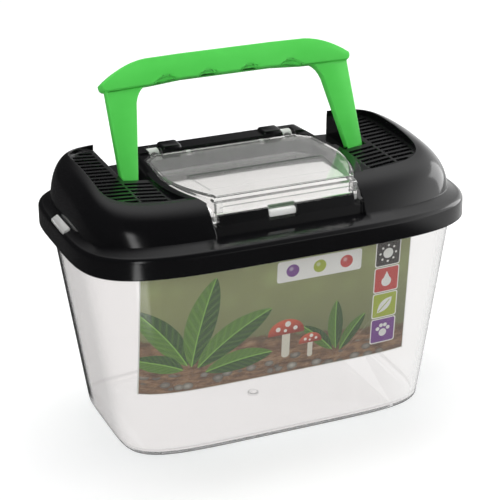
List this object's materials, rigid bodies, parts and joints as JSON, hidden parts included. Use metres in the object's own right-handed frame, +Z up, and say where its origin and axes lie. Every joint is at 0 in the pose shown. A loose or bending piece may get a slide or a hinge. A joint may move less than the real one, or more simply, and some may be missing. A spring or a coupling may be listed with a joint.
{
  "type": "pet keeper",
  "caption": "Small clear pet keeper: card-fronted tub, lift-off vented lid, tip-up feeding hatch and a carrying handle that folds down behind the lid.",
  "frame": {"origin": "centre of the tub's underside, on the surface that it stands on", "axes": "+Z up, +X to the right along the length, the label card faces -Y"},
  "size_m": [0.2002, 0.1178, 0.1768],
  "materials": {
    "clear_plastic": "clear moulded plastic",
    "card": "printed card",
    "black_plastic": "glossy black moulded plastic",
    "hatch_plastic": "clear moulded plastic",
    "green_plastic": "satin green moulded plastic"
  },
  "bodies": {
    "tub": {"tub": "clear_plastic", "label_card": "card"},
    "lid": {"lid": "black_plastic"},
    "hatch": {"hatch": "hatch_plastic"},
    "handle": {"handle": "green_plastic"}
  },
  "joints": [
    {"name": "lid_lift", "type": "slide", "parent": "tub", "child": "lid", "axis": [0, 0, 1], "range_m": [0, 0.04]},
    {"name": "hatch_hinge", "type": "hinge", "parent": "lid", "child": "hatch", "pos_m": [0, 0.0406, 0.1224], "axis": [-1, 0, 0], "range_deg": [0, 44]},
    {"name": "handle_pivot", "type": "hinge", "parent": "lid", "child": "handle", "pos_m": [0, 0.0065, 0.1194], "axis": [1, 0, 0], "range_deg": [-63.7, 26.3]}
  ]
}
